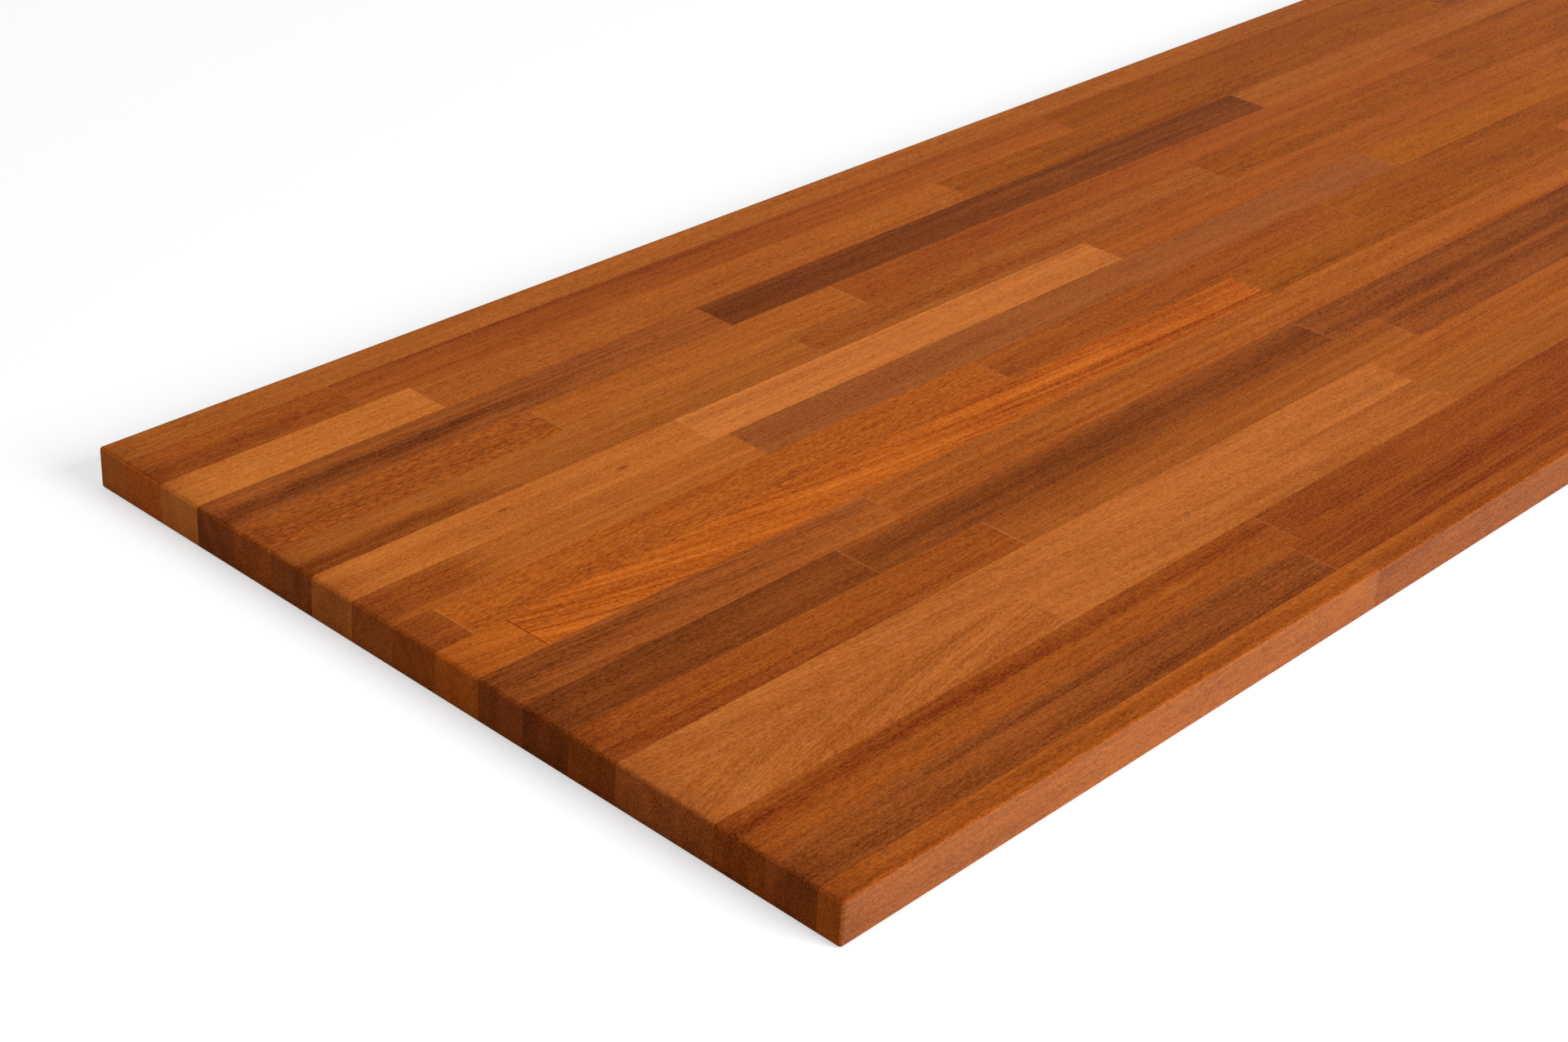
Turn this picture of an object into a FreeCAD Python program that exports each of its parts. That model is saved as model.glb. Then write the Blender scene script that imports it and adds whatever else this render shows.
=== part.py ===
import FreeCAD, Part
import os

# Butcher block countertop.
# A slab glued up from rows of short hardwood staves. Each row is one long strip whose staves are
# finger jointed end to end. The strips are glued side by side, the slab is cut to size, which
# leaves narrow strips along both long edges, and every arris is rounded over.
#
# Frame: the origin is at the middle of the underside, +X runs along the board, +Y runs to the back
# edge and +Z is up. Rows are counted from the back edge, and staves from the end at -X.

doc = FreeCAD.newDocument("butcher_block_countertop")

# Driving sizes in millimetres, each with what it measures.
MAIN_SIZES = {
    "board_length": (2000, "length of the slab"),
    "board_width": (650, "depth of the slab, from front edge to back edge"),
    "board_thickness": (30, "thickness of the slab"),
    "arris_radius": (2.5, "rounding of every outer edge"),
    "stave_width": (37.7, "width of a full row of staves"),
    "back_strip_width": (29, "what the saw left of the first row, at the back edge"),
    "least_front_strip": (9, "narrowest strip that may be left at the front edge"),
    "least_end_piece": (30, "shortest stave that may be left at the far end of a row"),
    "finger_length": (15, "depth of the finger joints"),
    "finger_pitch": (5, "distance between fingers, fitted to the thickness"),
    "finger_tip": (0.5, "width of a finger's blunt tip"),
}

# Lengths of the staves of each row on the top face, from the end at -X. The last stave of a row
# isn't listed: it takes what is left of the board. A board with more rows goes through the list again.
STAVE_LENGTHS = (
    (930, 680),
    (163, 767, 600),
    (203, 548, 714),
    (440, 663, 497),
    (241, 300, 788, 416),
    (456, 490, 609),
    (306, 445, 585),
    (320, 408, 351, 611),
    (30, 497, 435, 540),
    (54, 733, 480, 425),
    (323, 480, 620),
    (260, 497, 453, 470),
    (356, 455, 570),
    (744, 510, 440),
    (304, 439, 590),
    (493, 520, 545),
    (479, 610, 390),
    (499, 465, 665),
)


# Sheet of sizes
sheet = doc.addObject("Spreadsheet::Sheet", "sizes")


def list_size(line, name, value, note):
    """Write one named size into a line of the sheet."""
    sheet.set(f"A{line}", name)
    sheet.set(f"B{line}", str(value))
    sheet.setAlias(f"B{line}", name)
    sheet.set(f"C{line}", note)


def stave_size_name(pattern, stave):
    """Name of the length of one stave of a row's pattern, both counted from 1."""
    return f"pattern_{pattern:02d}_stave_{stave}"


line = 1
for name, (value, note) in MAIN_SIZES.items():
    list_size(line, name, value, note)
    line += 1
for pattern, lengths in enumerate(STAVE_LENGTHS, start=1):
    for stave, length in enumerate(lengths, start=1):
        list_size(line, stave_size_name(pattern, stave), length, "length of a stave")
        line += 1
doc.recompute()


# Layout worked out from the sizes
def count_rows():
    """Rows across the board: the back strip, the full rows and the front strip."""
    for_full_rows = sheet.board_width - sheet.back_strip_width - sheet.least_front_strip
    return 2 + int(for_full_rows // sheet.stave_width)


def stave_names_of_row(row):
    """Names of the lengths of a row's staves, without its last one.

    On a longer or shorter board staves come and go in pairs, so that the same node of the row, the
    odd one or the even one, still reaches the board's far end.
    """
    pattern = (row - 1) % len(STAVE_LENGTHS) + 1
    count = len(STAVE_LENGTHS[pattern - 1])
    names = [stave_size_name(pattern, stave) for stave in range(1, count + 1)]
    pair = names[-2:]

    def total(chosen):
        return sum(getattr(sheet, name) for name in chosen)

    while sheet.board_length - total(names + pair) >= sheet.least_end_piece:
        names += pair
    while names and sheet.board_length - total(names) < sheet.least_end_piece:
        del names[-2:]
    return names


row_count = count_rows()
finger_count = max(1, round(sheet.board_thickness / sheet.finger_pitch))


def mm(name):
    """A named size as a length, for the expressions that hold the pieces."""
    return f"(sizes.{name} * 1 mm)"


PITCH = f"({mm('board_thickness')} / {finger_count})"
HALF_LENGTH = f"({mm('board_length')} / 2)"
HALF_WIDTH = f"({mm('board_width')} / 2)"


def origin_item(body, role):
    """One of a body's own origin planes or axes."""
    return next(item for item in body.Origin.OriginFeatures if item.Role == role)


# Slab, the board as it leaves the saw, with every arris rounded over
slab = doc.addObject("PartDesign::Body", "slab")
sawn = slab.newObject("PartDesign::AdditiveBox", "sawn_slab")
sawn.setExpression("Length", mm("board_length"))
sawn.setExpression("Width", mm("board_width"))
sawn.setExpression("Height", mm("board_thickness"))
sawn.setExpression(".Placement.Base.x", f"-{HALF_LENGTH}")
sawn.setExpression(".Placement.Base.y", f"-{HALF_WIDTH}")
doc.recompute()
rounded = slab.newObject("PartDesign::Fillet", "rounded_arrises")
rounded.Base = (sawn, [])
rounded.UseAllEdges = True
rounded.setExpression("Radius", mm("arris_radius"))
slab.Tip = rounded


# Finger cutters
def add_cutter(name, turn, root_shift, first_height, count):
    """Row of wedge fingers one above the other, right across the board, with a joint's plane at X = 0.

    The fingers taper from their roots to blunt tips, to -X with a turn of 90 and to +X with -90.
    """
    cutter = doc.addObject("PartDesign::Body", name)
    finger = cutter.newObject("PartDesign::AdditiveWedge", f"{name}_finger")
    finger.Placement.Rotation = FreeCAD.Rotation(turn, 0, 0)
    finger.setExpression(".Placement.Base.x", root_shift)
    finger.setExpression(".Placement.Base.z", first_height)
    for side, edge in (("min", f"-{HALF_WIDTH}"), ("max", HALF_WIDTH)):
        finger.setExpression(f"X{side}", edge)
        finger.setExpression(f"X2{side}", edge)
    finger.Ymin = 0
    finger.setExpression("Ymax", mm("finger_length"))
    for side, sign in (("min", "-"), ("max", "")):
        finger.setExpression(f"Z{side}", f"{sign}({PITCH} - {mm('finger_tip')}) / 2")
        finger.setExpression(f"Z2{side}", f"{sign}{mm('finger_tip')} / 2")
    doc.recompute()
    stacked = cutter.newObject("PartDesign::LinearPattern", f"{name}_fingers")
    stacked.Originals = [finger]
    stacked.Direction = (origin_item(cutter, "Z_Axis"), [""])
    stacked.setExpression("Length", f"{PITCH} * {count - 1}")
    stacked.Occurrences = count
    cutter.Tip = stacked
    return cutter


# The grooves at a stave's far end are where the next stave's fingers go, and the grooves at its near
# end are where the last stave's fingers go, half a pitch higher and lower.
far_end_cutter = add_cutter("far_end_cutter", 90, "0 mm", f"{PITCH} / 2", finger_count)
near_end_cutter = add_cutter("near_end_cutter", -90, f"-{mm('finger_length')}", "0 mm", finger_count + 1)
doc.recompute()


# Staves
def row_place(row):
    """Where a row's back side lies, and how wide the row is."""
    if row == 1:
        return HALF_WIDTH, mm("back_strip_width")
    back = f"{HALF_WIDTH} - {mm('back_strip_width')} - {mm('stave_width')} * {row - 2}"
    if row == row_count:
        return back, f"{back} + {HALF_WIDTH}"
    return back, mm("stave_width")


def add_stave_blank(name, row, length_name, previous):
    """Square stave blank. It reaches a finger's length into the stave before it."""
    blank = doc.addObject("Part::Box", name)
    start = f"-{HALF_LENGTH}"
    reach = "0 mm"
    if previous is not None:
        reach = mm("finger_length")
        start = f"{previous.Name}.Placement.Base.x + {previous.Name}.Length - {reach}"
    blank.setExpression(".Placement.Base.x", start)
    if length_name is None:
        blank.setExpression("Length", f"{HALF_LENGTH} - ({start})")
    else:
        blank.setExpression("Length", f"{mm(length_name)} + {reach}")
    back, width = row_place(row)
    blank.setExpression("Width", width)
    blank.setExpression(".Placement.Base.y", f"{back} - ({width})")
    blank.setExpression("Height", mm("board_thickness"))
    return blank


def combine(kind, name, base, tool):
    """Two solids in a Cut, the first less the second, or in a Common, what they share."""
    result = doc.addObject(f"Part::{kind}", name)
    result.Base = base
    result.Tool = tool
    return result


def cut_fingers(name, stave, cutter, joint_plane):
    """Stave with a cutter's grooves in one end, where the joint's plane is."""
    placed = doc.addObject("App::Link", f"{name}_cutter")
    placed.LinkedObject = cutter
    placed.setExpression(".Placement.Base.x", joint_plane)
    return combine("Cut", name, stave, placed)


def add_row(row):
    """Fingered staves of one row, from the end at -X to the other end.

    A stave at the slab's edge or end takes its rounded arrises from the slab.
    """
    staves = []
    blank = None
    for number, length_name in enumerate(stave_names_of_row(row) + [None], start=1):
        name = f"row_{row:02d}_stave_{number}"
        blank = add_stave_blank(f"{name}_blank", row, length_name, blank)
        near_end = f"{blank.Name}.Placement.Base.x"
        stave = blank
        if row in (1, row_count) or number == 1 or length_name is None:
            stave = combine("Common", f"{name}_in_slab", blank, slab)
        if number > 1:
            joint_plane = f"{near_end} + {mm('finger_length')}"
            stave = cut_fingers(f"{name}_near_end", stave, near_end_cutter, joint_plane)
        if length_name is not None:
            joint_plane = f"{near_end} + {blank.Name}.Length"
            stave = cut_fingers(f"{name}_far_end", stave, far_end_cutter, joint_plane)
        staves.append(stave)
    return staves


def add_node(label, staves):
    """Every second stave of a row, so that no two of them touch."""
    node = doc.addObject("Part::Compound", label)
    node.Links = staves
    node.Label = label
    return node


nodes = []
for row in range(1, row_count + 1):
    staves = add_row(row)
    nodes.append(add_node(f"row_{row:02d}_odd_staves", staves[0::2]))
    if len(staves) > 1:
        nodes.append(add_node(f"row_{row:02d}_even_staves", staves[1::2]))
doc.recompute()


# Checks before anything is written
for item in doc.Objects:
    if "Invalid" in item.State or "Error" in item.State:
        raise RuntimeError(f"{item.Name} failed: {item.State}")
for node in nodes:
    if node.Shape.isNull() or not node.Shape.isValid():
        raise RuntimeError(f"{node.Label} has no valid shape")
stave_count = sum(len(node.Shape.Solids) for node in nodes)
filled = sum(node.Shape.Volume for node in nodes) / slab.Shape.Volume
print(f"{row_count} rows, {len(nodes)} nodes, {stave_count} staves, filling {filled:.9f} of the slab")
if abs(filled - 1) > 1e-6:
    raise RuntimeError("the staves do not fill the slab")

os.makedirs("parts", exist_ok=True)
for node in nodes:
    node.Shape.exportStep(f"parts/{node.Label}.step")
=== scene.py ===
# %% [markdown]
# # Butcher block countertop
#
# The countertop in the photo is a slab of short hardwood staves. Rows of staves are finger jointed end
# to end, the rows are glued side by side, and the slab is sanded flat, rounded along its arrises and
# oiled. What makes it look real is the wood: every stave comes from another tree or another part of the
# log, so each has its own colour and its own grain.
#
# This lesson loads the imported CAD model, reads from it where the staves are, cuts new staves at the
# same places with Geometry Nodes, and gives each one a wood.

# %% Load the CAD model
import math
import random

import bpy
import numpy as np
from mathutils import Matrix, Vector


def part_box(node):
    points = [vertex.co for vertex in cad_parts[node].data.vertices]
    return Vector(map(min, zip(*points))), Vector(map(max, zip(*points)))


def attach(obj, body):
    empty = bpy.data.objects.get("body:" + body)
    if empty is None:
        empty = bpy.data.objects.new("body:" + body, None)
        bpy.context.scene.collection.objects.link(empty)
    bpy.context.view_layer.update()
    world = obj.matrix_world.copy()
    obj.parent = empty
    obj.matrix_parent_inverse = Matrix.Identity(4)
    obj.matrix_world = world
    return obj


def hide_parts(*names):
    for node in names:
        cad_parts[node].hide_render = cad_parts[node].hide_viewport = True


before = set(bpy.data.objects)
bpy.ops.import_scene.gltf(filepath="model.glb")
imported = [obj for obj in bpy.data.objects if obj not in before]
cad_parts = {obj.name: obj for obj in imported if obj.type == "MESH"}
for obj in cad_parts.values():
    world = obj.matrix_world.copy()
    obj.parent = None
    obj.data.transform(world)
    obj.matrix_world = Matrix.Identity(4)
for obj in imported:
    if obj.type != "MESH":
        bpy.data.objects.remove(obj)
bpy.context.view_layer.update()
nodes = {name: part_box(name) for name in sorted(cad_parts)}
slab_low = Vector(min(low[axis] for low, high in nodes.values()) for axis in range(3))
slab_high = Vector(max(high[axis] for low, high in nodes.values()) for axis in range(3))
print("CAD nodes:", len(nodes), " slab from", tuple(slab_low), "to", tuple(slab_high))

# %% [markdown]
# ## Helpers for node trees
#
# Both Geometry Nodes and materials are node trees. One helper adds a node, sets its options and fills
# its sockets, with a value or with a link from another node. It keeps the trees below short enough to
# read as a recipe. The others write a sum, a ramp or the parts of a vector in one line.

# %% Node helpers
def add_node(tree, kind, inputs=(), **options):
    """Add a node. inputs maps a socket's name or number to a value, or to the socket that feeds it."""
    node = tree.nodes.new(kind)
    for name, value in options.items():
        setattr(node, name, value)
    for socket, value in dict(inputs).items():
        if isinstance(value, bpy.types.NodeSocket):
            tree.links.new(value, node.inputs[socket])
        else:
            node.inputs[socket].default_value = value
    return node


def calculate(tree, operation, *values):
    """A sum of plain numbers."""
    node = add_node(tree, "ShaderNodeMath", dict(enumerate(values)), operation=operation)
    return node.outputs[0]


def calculate_vector(tree, operation, *values):
    """A sum of vectors. The one number that a scale or a length needs is handled here too."""
    inputs = dict(enumerate(values))
    if operation == "SCALE":
        inputs = {0: values[0], "Scale": values[1]}
    node = add_node(tree, "ShaderNodeVectorMath", inputs, operation=operation)
    return node.outputs["Value" if operation == "LENGTH" else "Vector"]


def split(tree, vector):
    """The three numbers of a vector."""
    return add_node(tree, "ShaderNodeSeparateXYZ", {0: vector}).outputs


def join(tree, x=0.0, y=0.0, z=0.0):
    """Three numbers as a vector."""
    return add_node(tree, "ShaderNodeCombineXYZ", {"X": x, "Y": y, "Z": z}).outputs[0]


def ramp(tree, value, start, end, smooth=True, low=0.0, high=1.0):
    """A mask that is low where the value is at the start and high where it is at the end."""
    limits = {"Value": value, "From Min": start, "From Max": end, "To Min": low, "To Max": high}
    shape = "SMOOTHSTEP" if smooth else "LINEAR"
    return add_node(tree, "ShaderNodeMapRange", limits, interpolation_type=shape).outputs["Result"]


def add_socket(tree, name, kind, in_out="INPUT", value=None):
    """A named input or output of a tree or group."""
    socket = tree.interface.new_socket(name, in_out=in_out, socket_type=f"NodeSocket{kind}")
    if value is not None:
        socket.default_value = value


def put_out(group, masks):
    """Give a shader group one output for each of its masks."""
    for name in masks:
        add_socket(group, name, "Float", "OUTPUT")
    add_node(group, "NodeGroupOutput", masks)
    print(f"{group.name}: {len(group.nodes)} nodes that give", ", ".join(masks))


# %% [markdown]
# ## Camera
#
# The photo was taken from above the near corner, a little tilted. The slab is a plain box, so its edges
# and corners in the photo are enough to work out the lens and the place of the camera.

# %% Camera
CAMERA_PLACE = Vector((-1.89283, -1.06094, 0.91436))
CAMERA_HEADING = 41.6045   # degrees from +X towards +Y
CAMERA_DOWN = 29.7805      # degrees below the horizon
CAMERA_TILT = 3.495        # degrees, anticlockwise
CAMERA_LENS = 64.83        # mm on a 36 mm sensor

camera = bpy.data.objects.new("camera", bpy.data.cameras.new("camera"))
camera.data.lens = CAMERA_LENS
camera.data.sensor_width = 36
camera.location = CAMERA_PLACE
heading, down = math.radians(CAMERA_HEADING), math.radians(CAMERA_DOWN)
looking = Vector((math.cos(heading) * math.cos(down), math.sin(heading) * math.cos(down),
                  -math.sin(down)))
turn = looking.to_track_quat("-Z", "Y").to_matrix() @ Matrix.Rotation(math.radians(CAMERA_TILT), 3, "Z")
camera.rotation_euler = turn.to_euler()
bpy.context.scene.collection.objects.link(camera)
bpy.context.scene.camera = camera
print("camera at", tuple(camera.location), "lens", camera.data.lens, "mm")

# %% [markdown]
# ## Light and floor
#
# In the photo the long front edge is the brightest side, the top is even, and the end is dim. So the
# key light is a large soft lamp in front of the slab and above it. A soft box over the slab and a dim
# world fill the rest. Their levels add up to about 1 on the top, so that a colour renders as it is
# written. Both lamps are big and far away, and neither stands where the top would mirror it to the
# camera.
#
# The background is white for the camera and in the wood's faint sheen, but not for the soft light that
# falls on the wood. The floor is a middle grey for the light that it throws back. Where it is seen it
# gets a lift, which turns it white but keeps the shadow. Far from the slab, where less light falls, the
# lift is stronger, so that the floor stays white out to its edge.

# %% Light
WHITE = (1, 1, 1, 1)
WORLD_LEVEL = 0.213
LAMPS = (
    # name, place, size in metres, watts
    ("key in front", Vector((0.6, -5.5, 3.0)), 3.2, 580),
    ("soft box above", Vector((0.3, 0.2, 6.0)), 5.0, 106),
)


def sees_background(tree):
    """1 for a ray that sees the white background: from the camera, mirrored or through glass."""
    ray = add_node(tree, "ShaderNodeLightPath").outputs
    after_object = calculate(tree, "MAXIMUM", ray["Is Glossy Ray"], ray["Is Transmission Ray"])
    return calculate(tree, "MAXIMUM", ray["Is Camera Ray"], after_object)


bpy.context.scene.view_settings.view_transform = "Standard"
world = bpy.data.worlds.new("studio")
bpy.context.scene.world = world
world.use_nodes = True
world.node_tree.nodes.clear()
soft = add_node(world.node_tree, "ShaderNodeBackground", {"Color": WHITE, "Strength": WORLD_LEVEL})
white = add_node(world.node_tree, "ShaderNodeBackground", {"Color": WHITE, "Strength": 1})
seen = add_node(world.node_tree, "ShaderNodeMixShader",
                {0: sees_background(world.node_tree), 1: soft.outputs[0], 2: white.outputs[0]})
add_node(world.node_tree, "ShaderNodeOutputWorld", {"Surface": seen.outputs[0]})

for name, lamp_place, size, watts in LAMPS:
    lamp = bpy.data.objects.new(name, bpy.data.lights.new(name, "AREA"))
    lamp.data.energy = watts
    lamp.data.size = size
    lamp.location = lamp_place
    lamp.rotation_euler = (-lamp_place).to_track_quat("-Z", "Y").to_euler()
    bpy.context.scene.collection.objects.link(lamp)
    print(name, watts, "W,", round(lamp_place.length, 2), "m away")

# %% Floor
FLOOR_REACH = 12           # metres from the middle to each side
FLOOR_DROP = 0.0004        # metres under the slab, so that the two never share a plane
FLOOR_GREY = (0.42, 0.42, 0.42, 1)
LIFT_GROWS = (1.5, 6.0)    # metres from the slab's middle
LIFT_LEVELS = (0.6, 1.0)   # near the slab and far from it

floor_mesh = bpy.data.meshes.new("floor")
quarters = ((-1, -1), (1, -1), (1, 1), (-1, 1))
corners = [(x * FLOOR_REACH, y * FLOOR_REACH, -FLOOR_DROP) for x, y in quarters]
floor_mesh.from_pydata(corners, [], [(0, 1, 2, 3)])
floor = bpy.data.objects.new("floor", floor_mesh)
bpy.context.scene.collection.objects.link(floor)

pale = bpy.data.materials.new("pale floor")
pale.use_nodes = True
pale.node_tree.nodes.clear()
tree = pale.node_tree
paint = add_node(tree, "ShaderNodeBsdfDiffuse", {"Color": FLOOR_GREY})
from_slab = calculate_vector(tree, "LENGTH", add_node(tree, "ShaderNodeTexCoord").outputs["Object"])
level = ramp(tree, from_slab, *LIFT_GROWS, smooth=False, low=LIFT_LEVELS[0], high=LIFT_LEVELS[1])
lift = add_node(tree, "ShaderNodeEmission", {"Color": WHITE, "Strength": level})
lifted = add_node(tree, "ShaderNodeAddShader", {0: paint.outputs[0], 1: lift.outputs[0]})
mixed = add_node(tree, "ShaderNodeMixShader",
                 {0: sees_background(tree), 1: paint.outputs[0], 2: lifted.outputs[0]})
add_node(tree, "ShaderNodeOutputMaterial", {"Surface": mixed.outputs[0]})
floor_mesh.materials.append(pale)
print("floor:", 2 * FLOOR_REACH, "m square")

# %% [markdown]
# ## Grain
#
# Wood is solid: the same rings show as lines on the top, as other lines on the edge, and as arcs on the
# end. So the grain is worked out from where a point lies in the log that the stave was sawn from, in
# metres from the log's middle. The Geometry Nodes further down store that place on every stave, as
# `in_log`, and the materials read it.
#
# An image of a board would be easier, but it would show the same board again and again, and wrong lines
# on the ends.
#
# Where a tree swells above its root, the lines sweep in from one side and settle down further up. The
# group bends the log that way near a stave's first end, as much as the stave list asks for.
#
# The masks are all stretched noise. Two of them are read by ring, so they bend with the rings:
# - bands, the broad stripes of colour, and lines, the thin rings between them
# - clouds, the slow drift of colour within a stave, and redness, the drift of its hue
# - fibres, the finest streaks along the log, and speckle, the still finer grit of cells and rays
# - pores, short dark dashes where the cutter laid a pore open
# - flecks, the rough ribbon that turned fibres leave on some staves

# %% Grain group
grain = bpy.data.node_groups.new("grain", "ShaderNodeTree")
add_socket(grain, "Ring width", "Float", value=0.008)
add_socket(grain, "Wander", "Float", value=0.004)
given = add_node(grain, "NodeGroupInput")


def read_vector(tree, name):
    """A vector that the staves carry."""
    return add_node(tree, "ShaderNodeAttribute", attribute_name=name).outputs["Vector"]


def read_parts(tree, name):
    """The three numbers of a vector that the staves carry."""
    return split(tree, read_vector(tree, name))


def read_number(tree, name):
    """A number that the staves carry."""
    return add_node(tree, "ShaderNodeAttribute", attribute_name=name).outputs["Fac"]


sweep = read_parts(grain, "sweep")
from_near_end = calculate(grain, "ADD", read_parts(grain, "in_stave")["X"],
                          read_parts(grain, "half_size")["X"])
settled = calculate(grain, "DIVIDE", from_near_end, calculate(grain, "MULTIPLY", sweep["Y"], -1.0))
settled = calculate(grain, "EXPONENT", settled)
swept = calculate(grain, "MULTIPLY", calculate(grain, "MULTIPLY", sweep["X"], sweep["Y"]), settled)
in_log = calculate_vector(grain, "ADD", read_vector(grain, "in_log"), join(grain, y=swept))


def stretched_noise(scale, detail=2.0, place=in_log, roughness=0.5):
    """Noise from 0 to 1. scale is how many times per metre it changes along, across and up."""
    stretched = calculate_vector(grain, "MULTIPLY", place, scale)
    noise = add_node(grain, "ShaderNodeTexNoise", {"Vector": stretched, "Scale": 1.0, "Detail": detail,
                                                   "Roughness": roughness})
    return noise.outputs["Fac"]


log_x, log_y, log_z = split(grain, in_log)
from_pith = calculate_vector(grain, "LENGTH", join(grain, y=log_y, z=log_z))
wander = calculate(grain, "MULTIPLY", calculate(grain, "SUBTRACT", stretched_noise((3, 14, 14)), 0.5),
                   given.outputs["Wander"])
ring = calculate(grain, "DIVIDE", calculate(grain, "ADD", from_pith, wander),
                 given.outputs["Ring width"])
ring_place = join(grain, x=ring, y=log_x)

# %% [markdown]
# Noise keeps mostly to the middle of its range, so a ramp stretches a narrow part of it to the whole
# range from 0 to 1. The two masks that are read by ring count their changes per ring and per metre.

# %% Grain masks
put_out(grain, {
    "Bands": ramp(grain, stretched_noise((0.9, 1.6, 1), 1.0, ring_place), 0.28, 0.72),
    "Lines": ramp(grain, stretched_noise((3.4, 2.2, 1), 2.0, ring_place), 0.3, 0.7),
    "Clouds": ramp(grain, stretched_noise((6, 50, 50), 2.0, in_log, 0.6), 0.25, 0.75),
    "Fibres": ramp(grain, stretched_noise((30, 760, 760), 3.0, in_log, 0.7), 0.28, 0.72),
    "Speckle": ramp(grain, stretched_noise((420, 760, 760), 2.0, in_log, 0.7), 0.3, 0.7),
    "Redness": ramp(grain, stretched_noise((24, 120, 120), 5.0, in_log, 0.8), 0.3, 0.7),
    "Pores": ramp(grain, stretched_noise((170, 1000, 1000), 1.0), 0.5, 0.7),
    "Flecks": ramp(grain, stretched_noise((150, 640, 640), 2.0), 0.42, 0.66),
})

# %% [markdown]
# ## Dark marks in the wood
#
# A few staves have marks of their own: a dark streak of heartwood that runs along part of the stave, or
# a pin knot, where a twig once grew. The stave list says where they are, and this group draws them.
# Both have soft edges that wander with noise, because a clean outline would look painted. A knot is
# longer along the fibres than across them.

# %% Dark marks group
STREAK_SWAY = (11, 0.026)    # changes per metre, and metres from side to side
KNOT_SWAY = (160, 0.004)
KNOT_WIDTH = 0.3             # share of its length
dark_marks = bpy.data.node_groups.new("dark marks", "ShaderNodeTree")


def sway(scale, amount):
    """A smooth wandering up and down, in metres."""
    noise = add_node(dark_marks, "ShaderNodeTexNoise", {"Vector": read_vector(dark_marks, "in_log"),
                                                        "Scale": scale, "Detail": 2.0})
    centred = calculate(dark_marks, "SUBTRACT", noise.outputs["Fac"], 0.5)
    return calculate(dark_marks, "MULTIPLY", centred, amount)


in_stave = read_parts(dark_marks, "in_stave")
from_near_end = calculate(dark_marks, "ADD", in_stave["X"], read_parts(dark_marks, "half_size")["X"])
streak = read_parts(dark_marks, "streak")
swayed = calculate(dark_marks, "ADD", in_stave["Y"], sway(*STREAK_SWAY))
off_streak = calculate(dark_marks, "ABSOLUTE", calculate(dark_marks, "SUBTRACT", swayed, streak["X"]))
across_streak = ramp(dark_marks, off_streak, streak["Y"], 0.0)
length = read_number(dark_marks, "streak_length")
along_streak = ramp(dark_marks, from_near_end, length, calculate(dark_marks, "MULTIPLY", length, 0.5))
streak_mask = calculate(dark_marks, "MULTIPLY", across_streak, along_streak)
streak_mask = calculate(dark_marks, "MULTIPLY", streak_mask, streak["Z"])

knot_mask = 0.0
for name in ("knot_1", "knot_2"):
    knot = read_parts(dark_marks, name)
    along = calculate(dark_marks, "SUBTRACT", from_near_end, knot["X"])
    along = calculate(dark_marks, "MULTIPLY", along, KNOT_WIDTH)
    swayed = calculate(dark_marks, "ADD", in_stave["Y"], sway(*KNOT_SWAY))
    across = calculate(dark_marks, "SUBTRACT", swayed, knot["Y"])
    off_knot = calculate_vector(dark_marks, "LENGTH", join(dark_marks, along, across))
    knot_mask = calculate(dark_marks, "MAXIMUM", knot_mask, ramp(dark_marks, off_knot, knot["Z"], 0.0))
put_out(dark_marks, {"Streak": streak_mask, "Pin knot": knot_mask})

# %% [markdown]
# ## Marks of the workshop, and a painted sheen
#
# Four more masks come from the faces of the slab and from places on it. The saw leaves end grain on
# the two ends, which drinks more oil and turns darker. A narrow strip of the top beside each end is
# darker too. The long edges get a pale veil, a painted sheen that stands in for the oil's reflection
# seen at a grazing angle. Glue shows as a hair line where two staves meet end to end. These masks
# come from the way a face looks and from the place in the stave, so they stay with it whatever its
# length.

# %% Workshop marks and painted sheen group
TURNED = (0.55, 0.85)            # a mask grows as a face turns to look along its axis
GLUE_LINE = (0.0011, 0.0006)     # metres from the joint
BESIDE_END = 0.03                # metres of top that are darker at each end of the slab

marks = bpy.data.node_groups.new("workshop marks and painted sheen", "ShaderNodeTree")
place = add_node(marks, "ShaderNodeTexCoord").outputs
facing = split(marks, calculate_vector(marks, "ABSOLUTE", place["Normal"]))
from_near_end = calculate(marks, "ADD", read_parts(marks, "half_size")["X"],
                          read_parts(marks, "in_stave")["X"])
glue_line = ramp(marks, from_near_end, *GLUE_LINE, smooth=False)
along_slab = calculate(marks, "ABSOLUTE", split(marks, place["Object"])["X"])
to_slab_end = calculate(marks, "SUBTRACT", slab_high.x, along_slab)
put_out(marks, {
    "End grain": ramp(marks, facing["X"], *TURNED),
    # A painted sheen: the long edges, which look along the slab's width, get a pale veil that stands in
    # for the oil's reflection.
    "Long edge sheen": ramp(marks, facing["Y"], *TURNED),
    "Glue line": calculate(marks, "MULTIPLY", glue_line, read_number(marks, "glue")),
    "Near slab end": ramp(marks, to_slab_end, BESIDE_END, 0.0, smooth=False),
})

# %% [markdown]
# ## Woods
#
# A maker would sort the staves on the photo into a dozen heaps, from pale honey to chocolate. Each heap
# is a material with its own two colours, a dark and a light. The masks add up to a tone, which blends
# between the two, and each stave adds its own shade, stored by the Geometry Nodes as `shade`. On an end
# the staves differ more, so there the tone counts twice. Then tints go over the colour, where pores,
# flecks, knots and end grain darken it.
#
# The oil is a thin film with a low sheen, and the open pores stay a little rougher, so roughness and
# bump come from the same masks as the colour.

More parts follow.
